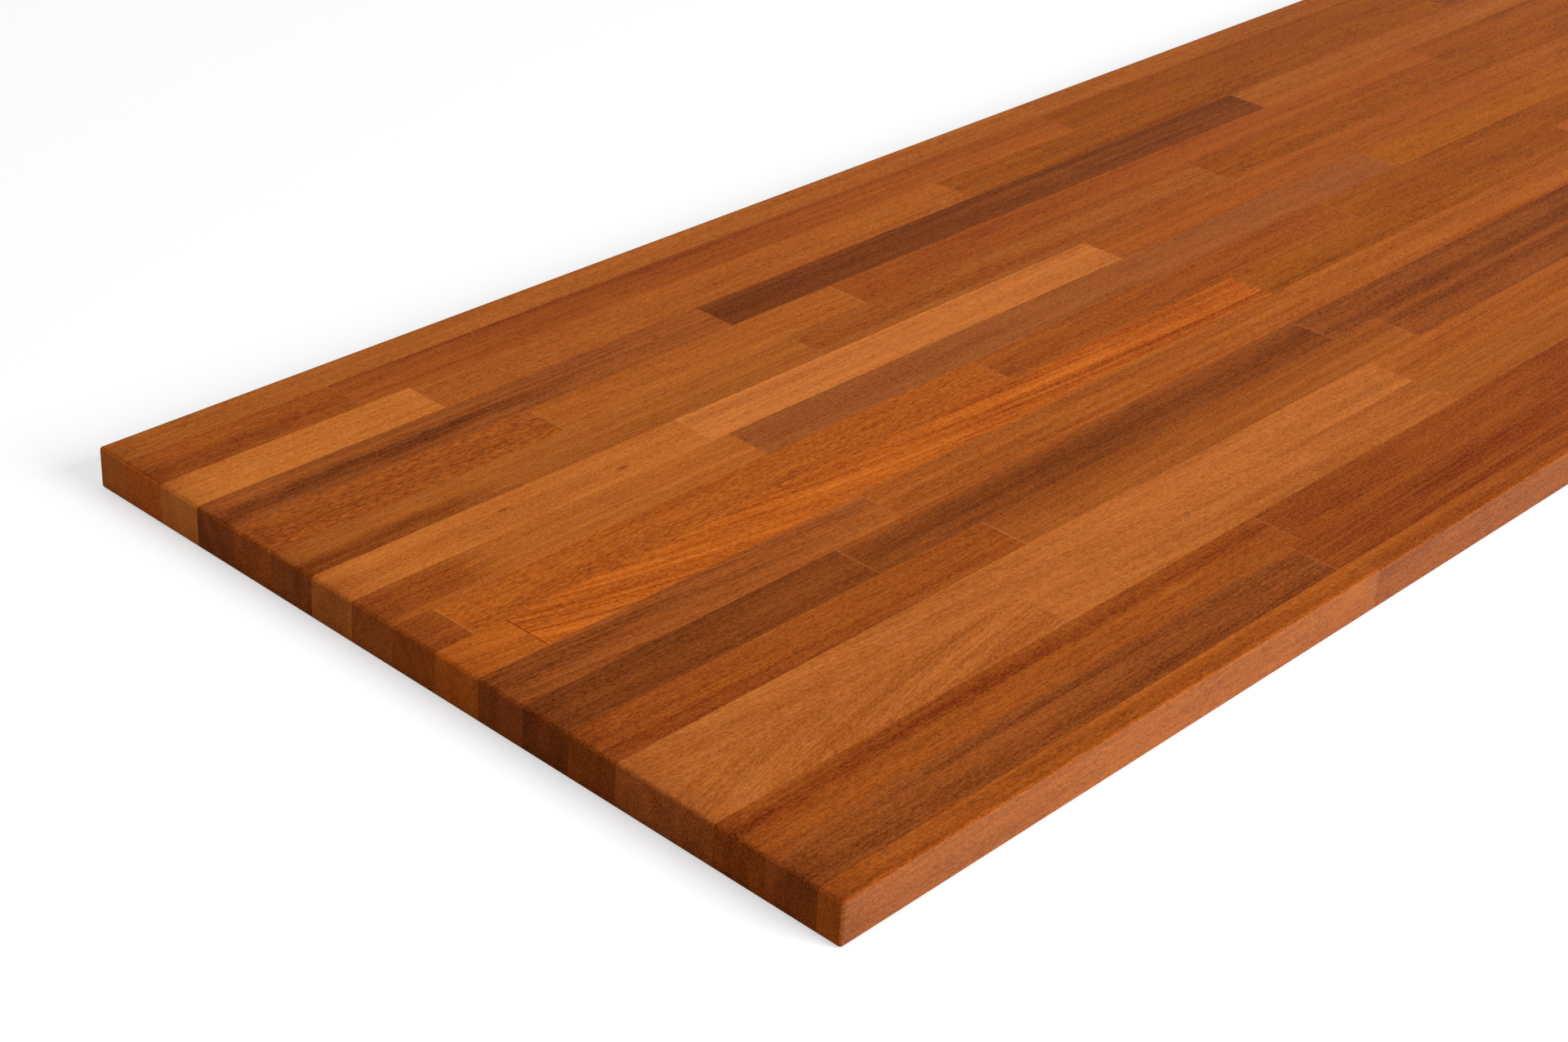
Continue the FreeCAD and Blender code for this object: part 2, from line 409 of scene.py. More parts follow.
# %% Tints and sheen
DARKEST_TONE = -0.25         # 0 is a wood's dark colour and 1 its light one
END_LESS = 0.13              # on an end the tone counts twice, less this much
# The pale veil on the long edges is painted sheen, and the next number sets how strongly it covers
# them.
PAINTED_SHEEN_SHARE = 0.09          # how pale the sanded long edges are
REDDER = (1.0, 0.9, 0.72, 1)
PORE_TINT = (0.42, 0.34, 0.28, 1)
FLECK_TINT = (0.55, 0.42, 0.36, 1)
KNOT_TINT = (0.5, 0.36, 0.3, 1)
END_TINT = (1.0, 0.85, 0.75, 1)
BESIDE_END_TINT = (0.8, 0.75, 0.74, 1)
SHEEN = 0.015                # specular level of the oil
OILED_ROUGHNESS = 0.36
FIBRES_ROUGHER = 0.16
PORES_ROUGHER = 0.2
GRAIN_HEIGHT = 0.0002        # metres
GRAIN_BUMP = 0.35


def srgb(red, green, blue):
    """A colour as a screen shows it, 0 to 255, turned to the linear colour that shaders use."""
    def linear(value):
        value /= 255
        return value / 12.92 if value <= 0.04045 else ((value + 0.055) / 1.055) ** 2.4
    return (linear(red), linear(green), linear(blue), 1)


GLUE_COLOUR = srgb(205, 130, 75)
# The colour of the painted sheen on the long edges, a pale veil that stands in for the oil's
# reflection.
PAINTED_SHEEN_COLOUR = srgb(175, 158, 128)
print("glue and painted sheen as linear colours:", GLUE_COLOUR, PAINTED_SHEEN_COLOUR)


# %% Wood material
def mix_tone(tree, masks, own, workshop_and_sheen, strengths):
    """The place between a wood's dark and light colour, from the stave's shade and the masks."""
    def around(mask):
        """A mask as a change up or down from the middle."""
        centred = calculate(tree, "SUBTRACT", masks[mask], 0.5)
        return calculate(tree, "MULTIPLY", centred, strengths[mask])

    tone = calculate(tree, "ADD", read_number(tree, "shade"), 0.5)
    for mask in ("Bands", "Clouds", "Fibres", "Speckle"):
        tone = calculate(tree, "ADD", tone, around(mask))
    more_on_end = calculate(tree, "ADD", calculate(tree, "SUBTRACT", tone, END_LESS),
                            read_number(tree, "end_tone"))
    lines = calculate(tree, "MULTIPLY", around("Lines"), read_number(tree, "figure"))
    more_on_face = calculate(tree, "SUBTRACT", lines, own["Streak"])
    more = add_node(tree, "ShaderNodeMix", {0: workshop_and_sheen["End grain"], 2: more_on_face, 3: more_on_end})
    tone = calculate(tree, "ADD", tone, more.outputs[0])
    dark_glue = calculate(tree, "MINIMUM", workshop_and_sheen["Glue line"], 0.0)
    return calculate(tree, "MAXIMUM", calculate(tree, "ADD", tone, dark_glue), DARKEST_TONE)


def make_wood(name, dark, light, bands=0.28, lines=0.2, pores=0.36, ring_width=0.008, wander=0.003):
    """A wood with its colours from dark to light, and how strongly each part of the grain shows."""
    wood = bpy.data.materials.new(name)
    wood.use_nodes = True
    tree = wood.node_tree
    tree.nodes.clear()
    masks = add_node(tree, "ShaderNodeGroup", node_tree=grain,
                     inputs={"Ring width": ring_width, "Wander": wander}).outputs
    own = add_node(tree, "ShaderNodeGroup", node_tree=dark_marks).outputs
    workshop_and_sheen = add_node(tree, "ShaderNodeGroup", node_tree=marks).outputs

    def blend(kind, factor, below, above):
        """One colour with another mixed or multiplied over it, as far as the factor says."""
        return add_node(tree, "ShaderNodeMix", {0: factor, 6: below, 7: above}, data_type="RGBA",
                        blend_type=kind).outputs[2]

    strengths = {"Bands": bands, "Lines": lines, "Clouds": 0.25, "Fibres": 0.38, "Speckle": 0.57}
    tone = mix_tone(tree, masks, own, workshop_and_sheen, strengths)
    colour = add_node(tree, "ShaderNodeMix", {0: tone, 6: srgb(*dark), 7: srgb(*light)},
                      data_type="RGBA", clamp_factor=False).outputs[2]
    colour = blend("MULTIPLY", masks["Redness"], colour, REDDER)
    colour = blend("MULTIPLY", calculate(tree, "MULTIPLY", masks["Pores"], pores), colour, PORE_TINT)
    flecks = calculate(tree, "MULTIPLY", masks["Flecks"], read_number(tree, "flecked"))
    colour = blend("MULTIPLY", flecks, colour, FLECK_TINT)
    colour = blend("MULTIPLY", own["Pin knot"], colour, KNOT_TINT)
    colour = blend("MIX", workshop_and_sheen["Glue line"], colour, GLUE_COLOUR)
    colour = blend("MULTIPLY", workshop_and_sheen["Near slab end"], colour, BESIDE_END_TINT)
    colour = blend("MULTIPLY", workshop_and_sheen["End grain"], colour, END_TINT)
    # Painted sheen: a pale veil mixed over the long edges, standing in for the oil's reflection.
    sheened = calculate(tree, "MULTIPLY", workshop_and_sheen["Long edge sheen"], PAINTED_SHEEN_SHARE)
    colour = blend("MIX", sheened, colour, PAINTED_SHEEN_COLOUR)

    rough = calculate(tree, "MULTIPLY_ADD", masks["Fibres"], FIBRES_ROUGHER, OILED_ROUGHNESS)
    rough = calculate(tree, "MULTIPLY_ADD", masks["Pores"], PORES_ROUGHER, rough)
    height = calculate(tree, "SUBTRACT", calculate(tree, "MULTIPLY", masks["Fibres"], 0.5),
                       masks["Pores"])
    bump = add_node(tree, "ShaderNodeBump", {"Height": height, "Strength": GRAIN_BUMP,
                                             "Distance": GRAIN_HEIGHT})
    surface = add_node(tree, "ShaderNodeBsdfPrincipled",
                       {"Base Color": colour, "Roughness": rough, "IOR": 1.45,
                        "Specular IOR Level": SHEEN, "Normal": bump.outputs[0]})
    add_node(tree, "ShaderNodeOutputMaterial", {"Surface": surface.outputs[0]})
    return wood


# %% Woods
WOODS = (
    make_wood("honey", (164, 87, 31), (208, 126, 56), bands=0.25, lines=0.12, pores=0.3),
    make_wood("pale amber", (150, 79, 30), (196, 115, 54), bands=0.3, lines=0.25),
    make_wood("bright orange", (144, 64, 14), (206, 112, 37), bands=0.25, lines=0.5,
              ring_width=0.012, wander=0.002),
    make_wood("orange", (132, 60, 12), (186, 100, 33), bands=0.2),
    make_wood("amber", (136, 65, 19), (184, 104, 41)),
    make_wood("tan", (130, 64, 19), (176, 100, 40)),
    make_wood("taupe", (128, 65, 26), (168, 96, 45), bands=0.2),
    make_wood("golden brown", (116, 53, 9), (170, 94, 27), bands=0.22, lines=0.16),
    make_wood("russet", (120, 53, 14), (172, 92, 33)),
    make_wood("red-brown", (110, 47, 11), (164, 86, 29)),
    make_wood("umber", (102, 47, 14), (160, 86, 35), bands=0.3),
    make_wood("chocolate", (92, 42, 12), (146, 76, 28)),
)
WOOD_NUMBER = {wood.name: number for number, wood in enumerate(WOODS)}
print("woods:", ", ".join(WOOD_NUMBER))

# %% [markdown]
# ## What each stave looks like
#
# A person laying up the slab would note each stave: which heap it came from, whether it is a touch
# lighter or darker, and how its grain runs. The next cell is that list, row by row from the back edge
# and from the end in front, read off the photo. The staves beyond the photo carry on in the same
# way. What the list doesn't say is left to chance, with a fixed seed.
#
# - `tone` makes the stave lighter or darker, `to_back` and `to_far` do so on one side or at one end
# - `pith` is where the middle of the log was, in mm towards the back and up. A middle far off to one
#   side gives straight lines, a middle under the stave gives wide arches
# - `slant` tells how the log's middle ran sideways, in mm per metre
# - `sweep` bends the lines near the first end: how steeply they run there, and over how many mm they
#   settle
# - `figure` makes the ring lines stronger, and `flecked` adds the rough ribbon of turned fibres
# - `streak` is a dark streak of heartwood: where it runs in mm from the stave's middle line, how far it
#   spreads in mm, and how dark it is. `streak_length` is how far along the stave it is gone
# - `knots` are pin knots: mm from the first end, mm from the middle line, and how far each spreads
# - `glue` is how much the glue line at the first end shows, below zero where it is dark
# - `end` makes the end grain lighter or darker

# %% Stave list
USUAL_ASIDE = (90, 160)     # mm from the stave to the log's middle, on either side
USUAL_UP = (-60, 60)        # mm
USUAL_SLANT = (-14, 14)     # mm per metre
LOG_PLACE = (-20, 20)       # metres along the log, so wide that no two staves look alike
chance = random.Random(4)


def stave(wood, tone=0.0, to_back=0.0, to_far=0.0, pith=None, slant=None, sweep=(0, 1), figure=1.0,
          flecked=0.0, streak=(0, 1, 0), streak_length=2000, knots=(), glue=0.14, end=0.0):
    """One line of the list, with a straight-grained cut where nothing else is said."""
    side = chance.choice((-1, 1))
    usual_pith = (side * chance.uniform(*USUAL_ASIDE), chance.uniform(*USUAL_UP))
    usual_slant = chance.uniform(*USUAL_SLANT)
    chosen = usual_pith if pith is None else pith
    knots = tuple(knots) + 2 * ((0, 0, 0.001),)
    return {
        "wood": WOOD_NUMBER[wood],
        "shade_by": (to_far, to_back, 0.0),
        "tone": tone,
        "pith": (chance.uniform(*LOG_PLACE), chosen[0] / 1000, chosen[1] / 1000),
        "lean": (0.0, (usual_slant if slant is None else slant) / 1000, 0.0),
        "sweep": (sweep[0], sweep[1] / 1000, 0.0),
        "figure": figure,
        "flecked": flecked,
        "streak": (streak[0] / 1000, streak[1] / 1000, streak[2]),
        "streak_length": streak_length / 1000,
        "knot_1": tuple(part / 1000 for part in knots[0]),
        "knot_2": tuple(part / 1000 for part in knots[1]),
        "glue": glue,
        "end_tone": end,
    }


STAVES = {
    1: (stave("tan", 0.15, end=1.35), stave("tan"), stave("umber", 0.1)),
    2: (stave("red-brown", 0.3, flecked=0.35, streak=(-6, 16, 0.3), streak_length=150, end=1.5),
        stave("russet", 0.02, to_back=-0.2), stave("golden brown", -0.06), stave("honey", -0.15)),
    3: (stave("honey", end=1.05), stave("amber", 0.05, glue=0), stave("golden brown", -0.04),
        stave("chocolate", 0.1)),
    4: (stave("umber", 0.2, streak=(-5, 13, 0.6), streak_length=360, figure=1.6, end=-0.15),
        stave("chocolate", -0.1, glue=0), stave("tan", 0.05), stave("amber")),
    5: (stave("russet", 0.23, flecked=0.8, end=0.5), stave("amber", 0.1),
        stave("russet", 0.05, glue=0.5), stave("golden brown", -0.1), stave("pale amber")),
    6: (stave("tan", 0.07, to_back=0.1, streak=(-13, 14, 0.6), streak_length=190, end=-0.1),
        stave("tan", -0.1), stave("golden brown", -0.03), stave("red-brown", streak=(5, 14, 0.3))),
    7: (stave("honey", -0.15, knots=((140, 3.5, 2.6), (234, -6.5, 2.6)), end=0.6),
        stave("pale amber", 0.32, to_far=-0.12, glue=0.28), stave("russet", 0.1),
        stave("amber", -0.15)),
    8: (stave("amber", 0.2, streak=(0, 40, 0.6), streak_length=110, end=-0.2),
        stave("taupe", -0.05, glue=0), stave("taupe"), stave("golden brown", 0.22), stave("umber")),
    9: (stave("red-brown", 0.15, end=0.3), stave("orange", 0.2, flecked=0.6, to_back=0.1, glue=0.28),
        stave("russet", 0.03, glue=0.3), stave("golden brown", -0.02, glue=0.3), stave("orange")),
    10: (stave("orange", 0.15, pith=(110, 0), slant=0, sweep=(-0.12, 500), figure=2, end=0.45),
         stave("bright orange", -0.05, to_far=-0.04, pith=(120, 0), slant=0, sweep=(-0.31, 270),
               glue=-0.9),
         stave("golden brown", 0.0), stave("amber"), stave("chocolate", 0.1)),
    11: (stave("umber", 0.32, to_far=0.22, pith=(-100, 0), slant=0, sweep=(-0.11, 600), figure=2.2,
               streak=(6, 14, 0.25), end=0.2),
         stave("amber", -0.05), stave("amber", -0.05), stave("pale amber", -0.1, sweep=(-0.1, 400))),
    12: (stave("chocolate", -0.01, to_far=0.08, end=0.35),
         stave("chocolate", 0.4, to_far=-0.06, streak=(-3, 26, 0.5), glue=0.3),
         stave("umber", -0.1, to_far=-0.15, glue=0.2), stave("red-brown"), stave("honey", -0.1)),
    13: (stave("russet", -0.05, to_far=0.05, end=0.3), stave("tan", -0.07, to_back=-0.15, glue=0.4),
         stave("umber", -0.11, to_far=-0.1, glue=0.35), stave("russet", 0.1, flecked=0.4)),
    14: (stave("pale amber", -0.05, to_far=0.04, pith=(100, 0), slant=0, sweep=(-0.07, 1500), end=0.3),
         stave("amber", -0.14, to_far=-0.15), stave("chocolate", 0.2), stave("amber", 0.1)),
    15: (stave("pale amber", -0.1, pith=(-110, 0), slant=0, sweep=(0.26, 500), figure=1.1, end=0.2),
         stave("pale amber", -0.14, to_far=-0.12, pith=(100, 0), slant=0, sweep=(-0.08, 400)),
         stave("tan", -0.07, to_far=-0.1), stave("tan", -0.1)),
    16: (stave("russet", 0.05, streak=(8, 14, 0.42)), stave("russet", -0.25, glue=0.3),
         stave("orange", 0.1), stave("umber", 0.1, figure=1.6)),
    17: (stave("umber", -0.03, to_back=0.1, figure=1.2, end=0.35),
         stave("russet", -0.3, figure=1.4, glue=0.28), stave("tan"), stave("honey", -0.2)),
    18: (stave("russet", 0.04, to_far=0.13, end=1.0), stave("russet", -0.12, to_back=0.22),
         stave("tan"), stave("red-brown", 0.1)),
}
print("staves listed:", sum(len(row) for row in STAVES.values()))

# %% [markdown]
# ## Where the staves are
#
# Each CAD node holds every second stave of a row, so its staves never touch. Its triangles, sorted by
# where they lie along the slab, fall into one run for each stave. A stave that doesn't start at the
# slab's end starts with fingers, which reach one finger length back into the stave before it. The place
# of the joint, which is the line seen on the top, lies that much further on.

# %% Read the staves
FINGER_LENGTH = 0.015
FINGER_PITCH = 0.005
FINGER_TIP = 0.0005
ARRIS_RADIUS = 0.0025
SAME_PLACE = 1e-5      # metres: what lies nearer than this is at the same place


def find_runs(node):
    """Start and end along the slab of each stave of a CAD node."""
    corner_x = [vertex.co.x for vertex in node.data.vertices]
    spans = []
    for face in node.data.polygons:
        along = [corner_x[number] for number in face.vertices]
        spans.append((min(along), max(along)))
    runs = []
    for start, end in sorted(spans):
        if runs and start <= runs[-1][1] + SAME_PLACE:
            runs[-1][1] = max(runs[-1][1], end)
        else:
            runs.append([start, end])
    return runs


def read_staves(name):
    """The staves of one CAD node, with their sizes and their lines from the list."""
    row = int(name.split("_")[1])
    low, high = nodes[name]
    first = 0 if "odd" in name else 1
    found = []
    for count, (start, end) in enumerate(find_runs(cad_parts[name])):
        near_fingers = float(start > slab_low.x + SAME_PLACE)
        far_fingers = float(end < slab_high.x - SAME_PLACE)
        start += near_fingers * FINGER_LENGTH
        found.append({
            "centre": ((start + end) / 2, (low.y + high.y) / 2, (low.z + high.z) / 2),
            "half_size": ((end - start) / 2, (high.y - low.y) / 2, (high.z - low.z) / 2),
            "near_fingers": near_fingers,
            "far_fingers": far_fingers,
            "stave": first + 2 * count,
            **STAVES[row][first + 2 * count],
        })
        found[-1]["glue"] *= near_fingers
    return found


staves_of = {name: read_staves(name) for name in nodes}
print("staves found:", sum(len(found) for found in staves_of.values()))

# %% [markdown]
# ## The blank
#
# Every stave starts as the same small block, a stave blank. It already has the lines of edges that the
# cutters will need: one at every corner of a finger, and a few close to each arris so that it can be
# rounded. Nothing in the middle has to be cut, because the two halves are later pulled apart to the
# stave's own length and width, as one would stretch a concertina.
#
# The lines near an arris lie at the sharp edge, where the rounding ends, a little beyond that so that
# the flat stays flat, and where a line will land a quarter of the way round. The blank's faces remember
# which side they are on. That is used to lay out the export map.

# %% Blank
BLANK_HALF = 0.006
QUARTER_ROUND = 0.586 * ARRIS_RADIUS
BEYOND_ROUND = 1.3 * ARRIS_RADIUS
ROUNDING_STEPS = (0.0, QUARTER_ROUND, ARRIS_RADIUS, BEYOND_ROUND)


def finger_levels(thickness):
    """Heights of all the corners of the fingers, and of the rounding of the arrises."""
    count = round(thickness / FINGER_PITCH)
    levels = {0.0, thickness}
    for number in range(2 * count + 1):
        for side in (-1, 1):
            levels.add(number * FINGER_PITCH / 2 + side * FINGER_TIP / 2)
    for step in (QUARTER_ROUND, ARRIS_RADIUS):
        levels.update((step, thickness - step))
    return sorted(level - thickness / 2 for level in levels if 0 <= level <= thickness)


def make_blank(levels):
    """A closed block of quads, with lines of edges at the given levels along each axis."""
    points, numbers, faces, sides = [], {}, [], []

    def corner(place):
        if place not in numbers:
            numbers[place] = len(points)
            points.append(tuple(levels[axis][place[axis]] for axis in range(3)))
        return numbers[place]

    for axis in range(3):
        first, second = (axis + 1) % 3, (axis + 2) % 3
        for end in (0, 1):
            for i in range(len(levels[first]) - 1):
                for j in range(len(levels[second]) - 1):
                    ring = []
                    for step_i, step_j in ((0, 0), (1, 0), (1, 1), (0, 1)):
                        place = [0, 0, 0]
                        place[axis] = end * (len(levels[axis]) - 1)
                        place[first], place[second] = i + step_i, j + step_j
                        ring.append(corner(tuple(place)))
                    faces.append(ring if end else ring[::-1])
                    sides.append(2 * axis + end)
    mesh = bpy.data.meshes.new("stave blank")
    mesh.from_pydata(points, [], faces)
    mesh.attributes.new("side", "INT", "FACE").data.foreach_set("value", sides)
    return bpy.data.objects.new("stave blank", mesh)


from_end = [BLANK_HALF - step for step in ROUNDING_STEPS]
length_levels = sorted([-level for level in from_end] + from_end)
blank = make_blank((length_levels, length_levels, finger_levels(slab_high.z - slab_low.z)))
print("blank:", len(blank.data.polygons), "faces")

# %% [markdown]
# ## Cutting the staves
#
# The tree below is the machine shop. Its layout is one point for each stave, which carries the stave's
# sizes and its line of the list. It puts a blank on every point, pulls it to size, pushes the fingers
# in, and rounds whatever lies within a radius of the slab's own edges. Inner staves have no edge of the
# slab, so they come out square, as they should.
#
# The fingers are a zigzag: their depth goes up and down with height, with a short flat at each turn. A
# ping-pong sum gives exactly that.

# %% Machine shop
shop = bpy.data.node_groups.new("machine shop", "GeometryNodeTree")
add_socket(shop, "Layout", "Geometry")
add_socket(shop, "Blank", "Object")
for name, size in (("Finger length", FINGER_LENGTH), ("Finger pitch", FINGER_PITCH),
                   ("Finger tip", FINGER_TIP), ("Arris radius", ARRIS_RADIUS)):
    add_socket(shop, name, "Float", value=size)
add_socket(shop, "Slab low corner", "Vector", value=tuple(slab_low))
add_socket(shop, "Slab high corner", "Vector", value=tuple(slab_high))
add_socket(shop, "Staves", "Geometry", "OUTPUT")
given = add_node(shop, "NodeGroupInput").outputs


def read(name, kind="FLOAT"):
    """An attribute that the layout's points carry."""
    node = add_node(shop, "GeometryNodeInputNamedAttribute", {"Name": name}, data_type=kind)
    return node.outputs["Attribute"]


def store(geometry, name, value, kind="FLOAT_VECTOR"):
    """Write an attribute onto every point of the staves."""
    node = add_node(shop, "GeometryNodeStoreNamedAttribute", {"Geometry": geometry, "Name": name},
                    data_type=kind, domain="POINT")
    shop.links.new(value, node.inputs["Value"])
    return node.outputs["Geometry"]


# %% Place the blanks
blank_shape = add_node(shop, "GeometryNodeObjectInfo", {"Object": given["Blank"]})
placed = add_node(shop, "GeometryNodeInstanceOnPoints", {"Points": given["Layout"],
                                                         "Instance": blank_shape.outputs["Geometry"]})
loose = add_node(shop, "GeometryNodeRealizeInstances", {"Geometry": placed.outputs[0]}).outputs[0]
position = add_node(shop, "GeometryNodeInputPosition").outputs[0]
in_blank = calculate_vector(shop, "SUBTRACT", position, read("centre", "FLOAT_VECTOR"))
x, y, z = split(shop, in_blank)
size_x, size_y, size_z = split(shop, read("half_size", "FLOAT_VECTOR"))
far_half = calculate(shop, "GREATER_THAN", x, 0.0)
at_end = calculate(shop, "GREATER_THAN", calculate(shop, "ABSOLUTE", x), BLANK_HALF - SAME_PLACE)
at_far_end = calculate(shop, "MULTIPLY", far_half, at_end)
at_near_end = calculate(shop, "SUBTRACT", at_end, at_far_end)
inside_far_end = calculate(shop, "SUBTRACT", far_half, at_far_end)

# %% Pull to size
pulled_x = calculate(shop, "MULTIPLY_ADD", calculate(shop, "SIGN", x),
                     calculate(shop, "SUBTRACT", size_x, BLANK_HALF), x)
pulled_y = calculate(shop, "MULTIPLY_ADD", calculate(shop, "SIGN", y),
                     calculate(shop, "SUBTRACT", size_y, BLANK_HALF), y)

# %% Push the fingers in
from_underside = calculate(shop, "ADD", z, size_z)
half_pitch = calculate(shop, "MULTIPLY", given["Finger pitch"], 0.5)
half_tip = calculate(shop, "MULTIPLY", given["Finger tip"], 0.5)
zigzag = calculate(shop, "PINGPONG", from_underside, half_pitch)
zigzag = calculate(shop, "DIVIDE", calculate(shop, "SUBTRACT", zigzag, half_tip),
                   calculate(shop, "SUBTRACT", half_pitch, given["Finger tip"]))
depth = calculate(shop, "MULTIPLY", add_node(shop, "ShaderNodeClamp", {"Value": zigzag}).outputs[0],
                  given["Finger length"])
near_push = calculate(shop, "MULTIPLY", at_near_end, depth)
near_push = calculate(shop, "MULTIPLY", near_push, read("near_fingers"))
far_push = calculate(shop, "MULTIPLY_ADD", inside_far_end, given["Finger length"],
                     calculate(shop, "MULTIPLY", at_far_end, depth))
far_push = calculate(shop, "MULTIPLY", far_push, read("far_fingers"))
fingered_x = calculate(shop, "SUBTRACT", pulled_x, calculate(shop, "ADD", near_push, far_push))
fingered = join(shop, fingered_x, pulled_y, z)
square = calculate_vector(shop, "ADD", fingered, read("centre", "FLOAT_VECTOR"))

# %% Round the arrises
radius = given["Arris radius"]
inset = join(shop, radius, radius, radius)
lowest = calculate_vector(shop, "ADD", given["Slab low corner"], inset)
highest = calculate_vector(shop, "SUBTRACT", given["Slab high corner"], inset)
core = calculate_vector(shop, "MINIMUM", calculate_vector(shop, "MAXIMUM", square, lowest), highest)
outwards = calculate_vector(shop, "SUBTRACT", square, core)
reach = calculate(shop, "MAXIMUM", calculate_vector(shop, "LENGTH", outwards), radius)
pulled_in = calculate_vector(shop, "SCALE", outwards, calculate(shop, "DIVIDE", radius, reach))
rounded = calculate_vector(shop, "ADD", core, pulled_in)
shaped = add_node(shop, "GeometryNodeSetPosition", {"Geometry": loose, "Position": rounded}).outputs[0]

# %% [markdown]
# The staves now have their shape. What is left is to store where each point lies in its stave and in
# its log, to mark the edges that stay sharp, and to hand out the woods.

# %% Store the grain's place
in_stave = calculate_vector(shop, "SUBTRACT", position, read("centre", "FLOAT_VECTOR"))
along = split(shop, in_stave)[0]
leaned = calculate_vector(shop, "SCALE", read("lean", "FLOAT_VECTOR"), along)
in_log = calculate_vector(shop, "ADD", calculate_vector(shop, "ADD", in_stave, leaned),
                          read("pith", "FLOAT_VECTOR"))
share = calculate_vector(shop, "DIVIDE", in_stave, read("half_size", "FLOAT_VECTOR"))
uneven = split(shop, calculate_vector(shop, "MULTIPLY", share, read("shade_by", "FLOAT_VECTOR")))
shade = calculate(shop, "ADD", calculate(shop, "ADD", uneven[0], uneven[1]), read("tone"))
kept = store(shaped, "in_stave", in_stave)
kept = store(kept, "in_log", in_log)
kept = store(kept, "shade", shade, "FLOAT")

# %% Sharp edges and woods
SHARP_BEND = 0.5     # radians: an edge that bends more stays sharp
bend = add_node(shop, "GeometryNodeInputMeshEdgeAngle").outputs["Unsigned Angle"]
smooth = add_node(shop, "GeometryNodeSetShadeSmooth", {"Geometry": kept, "Shade Smooth": True},
                  domain="FACE").outputs[0]
bends_much = calculate(shop, "GREATER_THAN", bend, SHARP_BEND)
sharp = add_node(shop, "GeometryNodeSetShadeSmooth",
                 {"Geometry": smooth, "Selection": bends_much, "Shade Smooth": False}, domain="EDGE")
finished = sharp.outputs[0]
for number, wood in enumerate(WOODS):
    chosen = calculate(shop, "COMPARE", read("wood"), float(number), 0.1)
    finished = add_node(shop, "GeometryNodeSetMaterial",
                        {"Geometry": finished, "Selection": chosen, "Material": wood}).outputs[0]
add_node(shop, "NodeGroupOutput", {"Staves": finished})
print("machine shop:", len(shop.nodes), "nodes")

# %% [markdown]
# ## Making the pieces
#
# One piece is made for each CAD node. The layout's points get the numbers, the modifier runs the
# machine shop on them, and the evaluated result is kept as a plain mesh. The CAD node is then hidden,
# and the piece is shown instead, attached to the body root.

# %% Piece from a node
def make_layout(name, found):
    """One point for each stave, carrying its sizes and its look."""
    mesh = bpy.data.meshes.new(name)
    mesh.from_pydata([line["centre"] for line in found], [], [])
    for key in found[0]:
        values = [line[key] for line in found]
        if isinstance(values[0], tuple):
            attribute = mesh.attributes.new(key, "FLOAT_VECTOR", "POINT")
            attribute.data.foreach_set("vector", np.ravel(values))
        else:
            attribute = mesh.attributes.new(key, "FLOAT", "POINT")
            attribute.data.foreach_set("value", values)
    layout = bpy.data.objects.new(name, mesh)
    bpy.context.scene.collection.objects.link(layout)
    return layout


def set_input(modifier, tree, name, value):
    """Set a modifier's input by the identifier of the tree's socket."""
    for item in tree.interface.items_tree:
        if item.name == name and item.in_out == "INPUT":
            modifier[item.identifier] = value


def cut_staves(name, found):
    """Run the machine shop on one layout and keep the result as a plain mesh."""
    piece = make_layout(name, found)
    machine = piece.modifiers.new("machine shop", "NODES")
    machine.node_group = shop
    set_input(machine, shop, "Blank", blank)
    set_input(machine, shop, "Finger length", FINGER_LENGTH)
    set_input(machine, shop, "Arris radius", ARRIS_RADIUS)
    evaluated = piece.evaluated_get(bpy.context.evaluated_depsgraph_get())
    mesh = bpy.data.meshes.new_from_object(evaluated)
    piece.modifiers.remove(machine)
    piece.data = mesh
    mesh.name = name
    return piece


# %% [markdown]
# ## Export map
#
# An export bakes the colours into an image, so every stave needs its own place on that image.
# Each stave gets one shelf. Its top, underside and two long sides lie on the shelf one above the other,
# with the ends beside them. What nobody sees, the glued sides, gets little room, and the top the most.

# %% Lay out the export map
GAP = 0.004
UNDERSIDE_SHARE = 0.5
GLUED_SHARE = 0.12
SEEN_END_WIDTH = 0.07
GLUED_END_WIDTH = 0.02
SIDE_AXES = ((2, 1), (2, 1), (0, 2), (0, 2), (0, 1), (0, 1))   # what runs across and up on the map


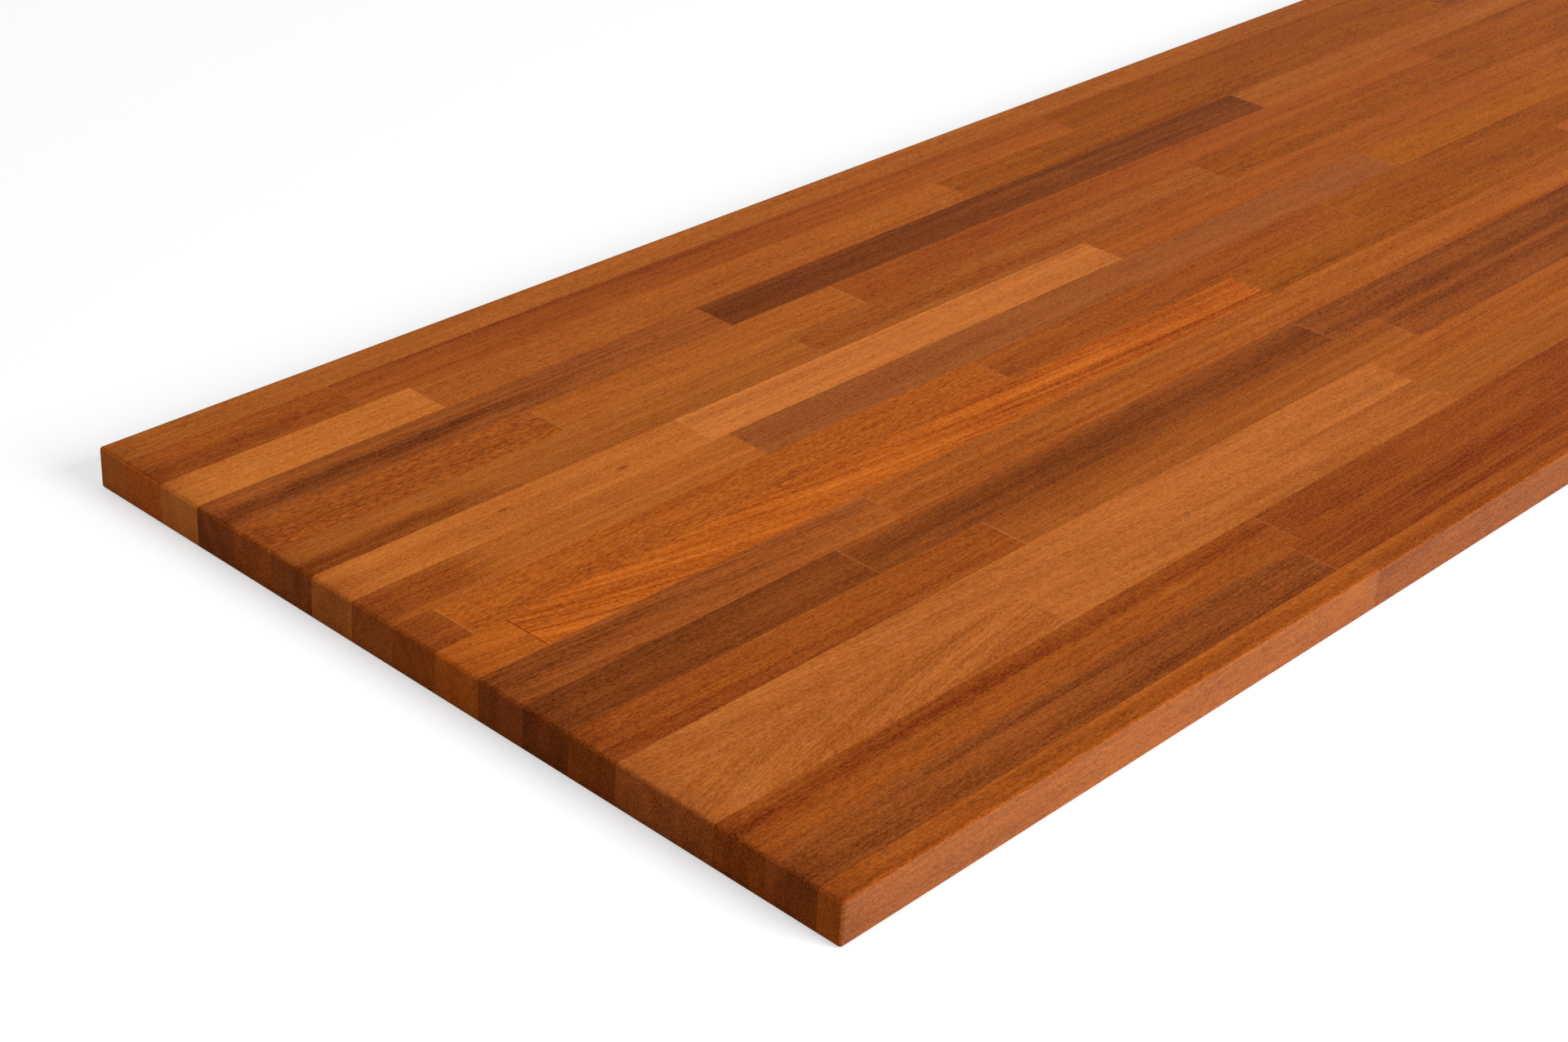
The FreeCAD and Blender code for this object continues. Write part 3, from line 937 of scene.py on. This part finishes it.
def shelf_boxes(line, low, high):
    """Where each side of a stave goes on its shelf, as left, right, bottom and top."""
    centre, half = Vector(line["centre"]), Vector(line["half_size"])
    end_width = [GLUED_END_WIDTH if line[fingers] else SEEN_END_WIDTH
                 for fingers in ("near_fingers", "far_fingers")]
    outer = (centre.y - half.y < slab_low.y + SAME_PLACE, centre.y + half.y > slab_high.y - SAME_PLACE)
    heights = {5: half.y, 4: half.y * UNDERSIDE_SHARE}
    for side, seen in zip((2, 3), outer):
        heights[side] = half.z * (1 if seen else GLUED_SHARE)
    room = (high - low) - GAP * (len(heights) + 1)
    strip_end = 1 - sum(end_width) - 3 * GAP
    boxes, bottom = {}, low + GAP
    for side, height in heights.items():
        top = bottom + room * height / sum(heights.values())
        boxes[side] = (GAP, strip_end, bottom, top)
        bottom = top + GAP
    boxes[0] = (strip_end + GAP, strip_end + GAP + end_width[0], low + GAP, high - GAP)
    boxes[1] = (1 - GAP - end_width[1], 1 - GAP, low + GAP, high - GAP)
    return boxes


def read_all(items, name, kind=float, width=1):
    """One property of all vertices, corners or faces of a mesh."""
    values = np.empty(len(items) * width, kind)
    items.foreach_get(name, values)
    return values


def lay_out(piece, found):
    """Write the export map of a piece, one shelf for each stave."""
    mesh = piece.data
    places = read_all(mesh.vertices, "co", width=3).reshape(-1, 3)
    corner_vertex = read_all(mesh.loops, "vertex_index", int)
    stave_number = read_all(mesh.attributes["stave"].data, "value")
    face_side = read_all(mesh.attributes["side"].data, "value", int)
    corner_count = read_all(mesh.polygons, "loop_total", int)
    corner_side = np.repeat(face_side, corner_count)
    corner_stave = stave_number[corner_vertex].round().astype(int)
    corner_place = places[corner_vertex]
    spots = np.zeros((len(mesh.loops), 2))
    for shelf, line in enumerate(found):
        boxes = shelf_boxes(line, shelf / len(found), (shelf + 1) / len(found))
        for side, (left, right, bottom, top) in boxes.items():
            chosen = (corner_stave == line["stave"]) & (corner_side == side)
            flat = corner_place[chosen][:, SIDE_AXES[side]]
            share = (flat - flat.min(0)) / (flat.max(0) - flat.min(0))
            spots[chosen] = (left, bottom) + share * (right - left, top - bottom)
    export_map = mesh.uv_layers.new(name="OFBake")
    export_map.data.foreach_set("uv", spots.ravel())


# %% Make every piece
triangles = 0
for name, found in staves_of.items():
    piece = cut_staves(name.replace("row", "wood_row"), found)
    lay_out(piece, found)
    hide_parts(name)
    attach(piece, "root")
    piece.data.calc_loop_triangles()
    triangles += len(piece.data.loop_triangles)
print("pieces:", len(staves_of), " triangles:", triangles)
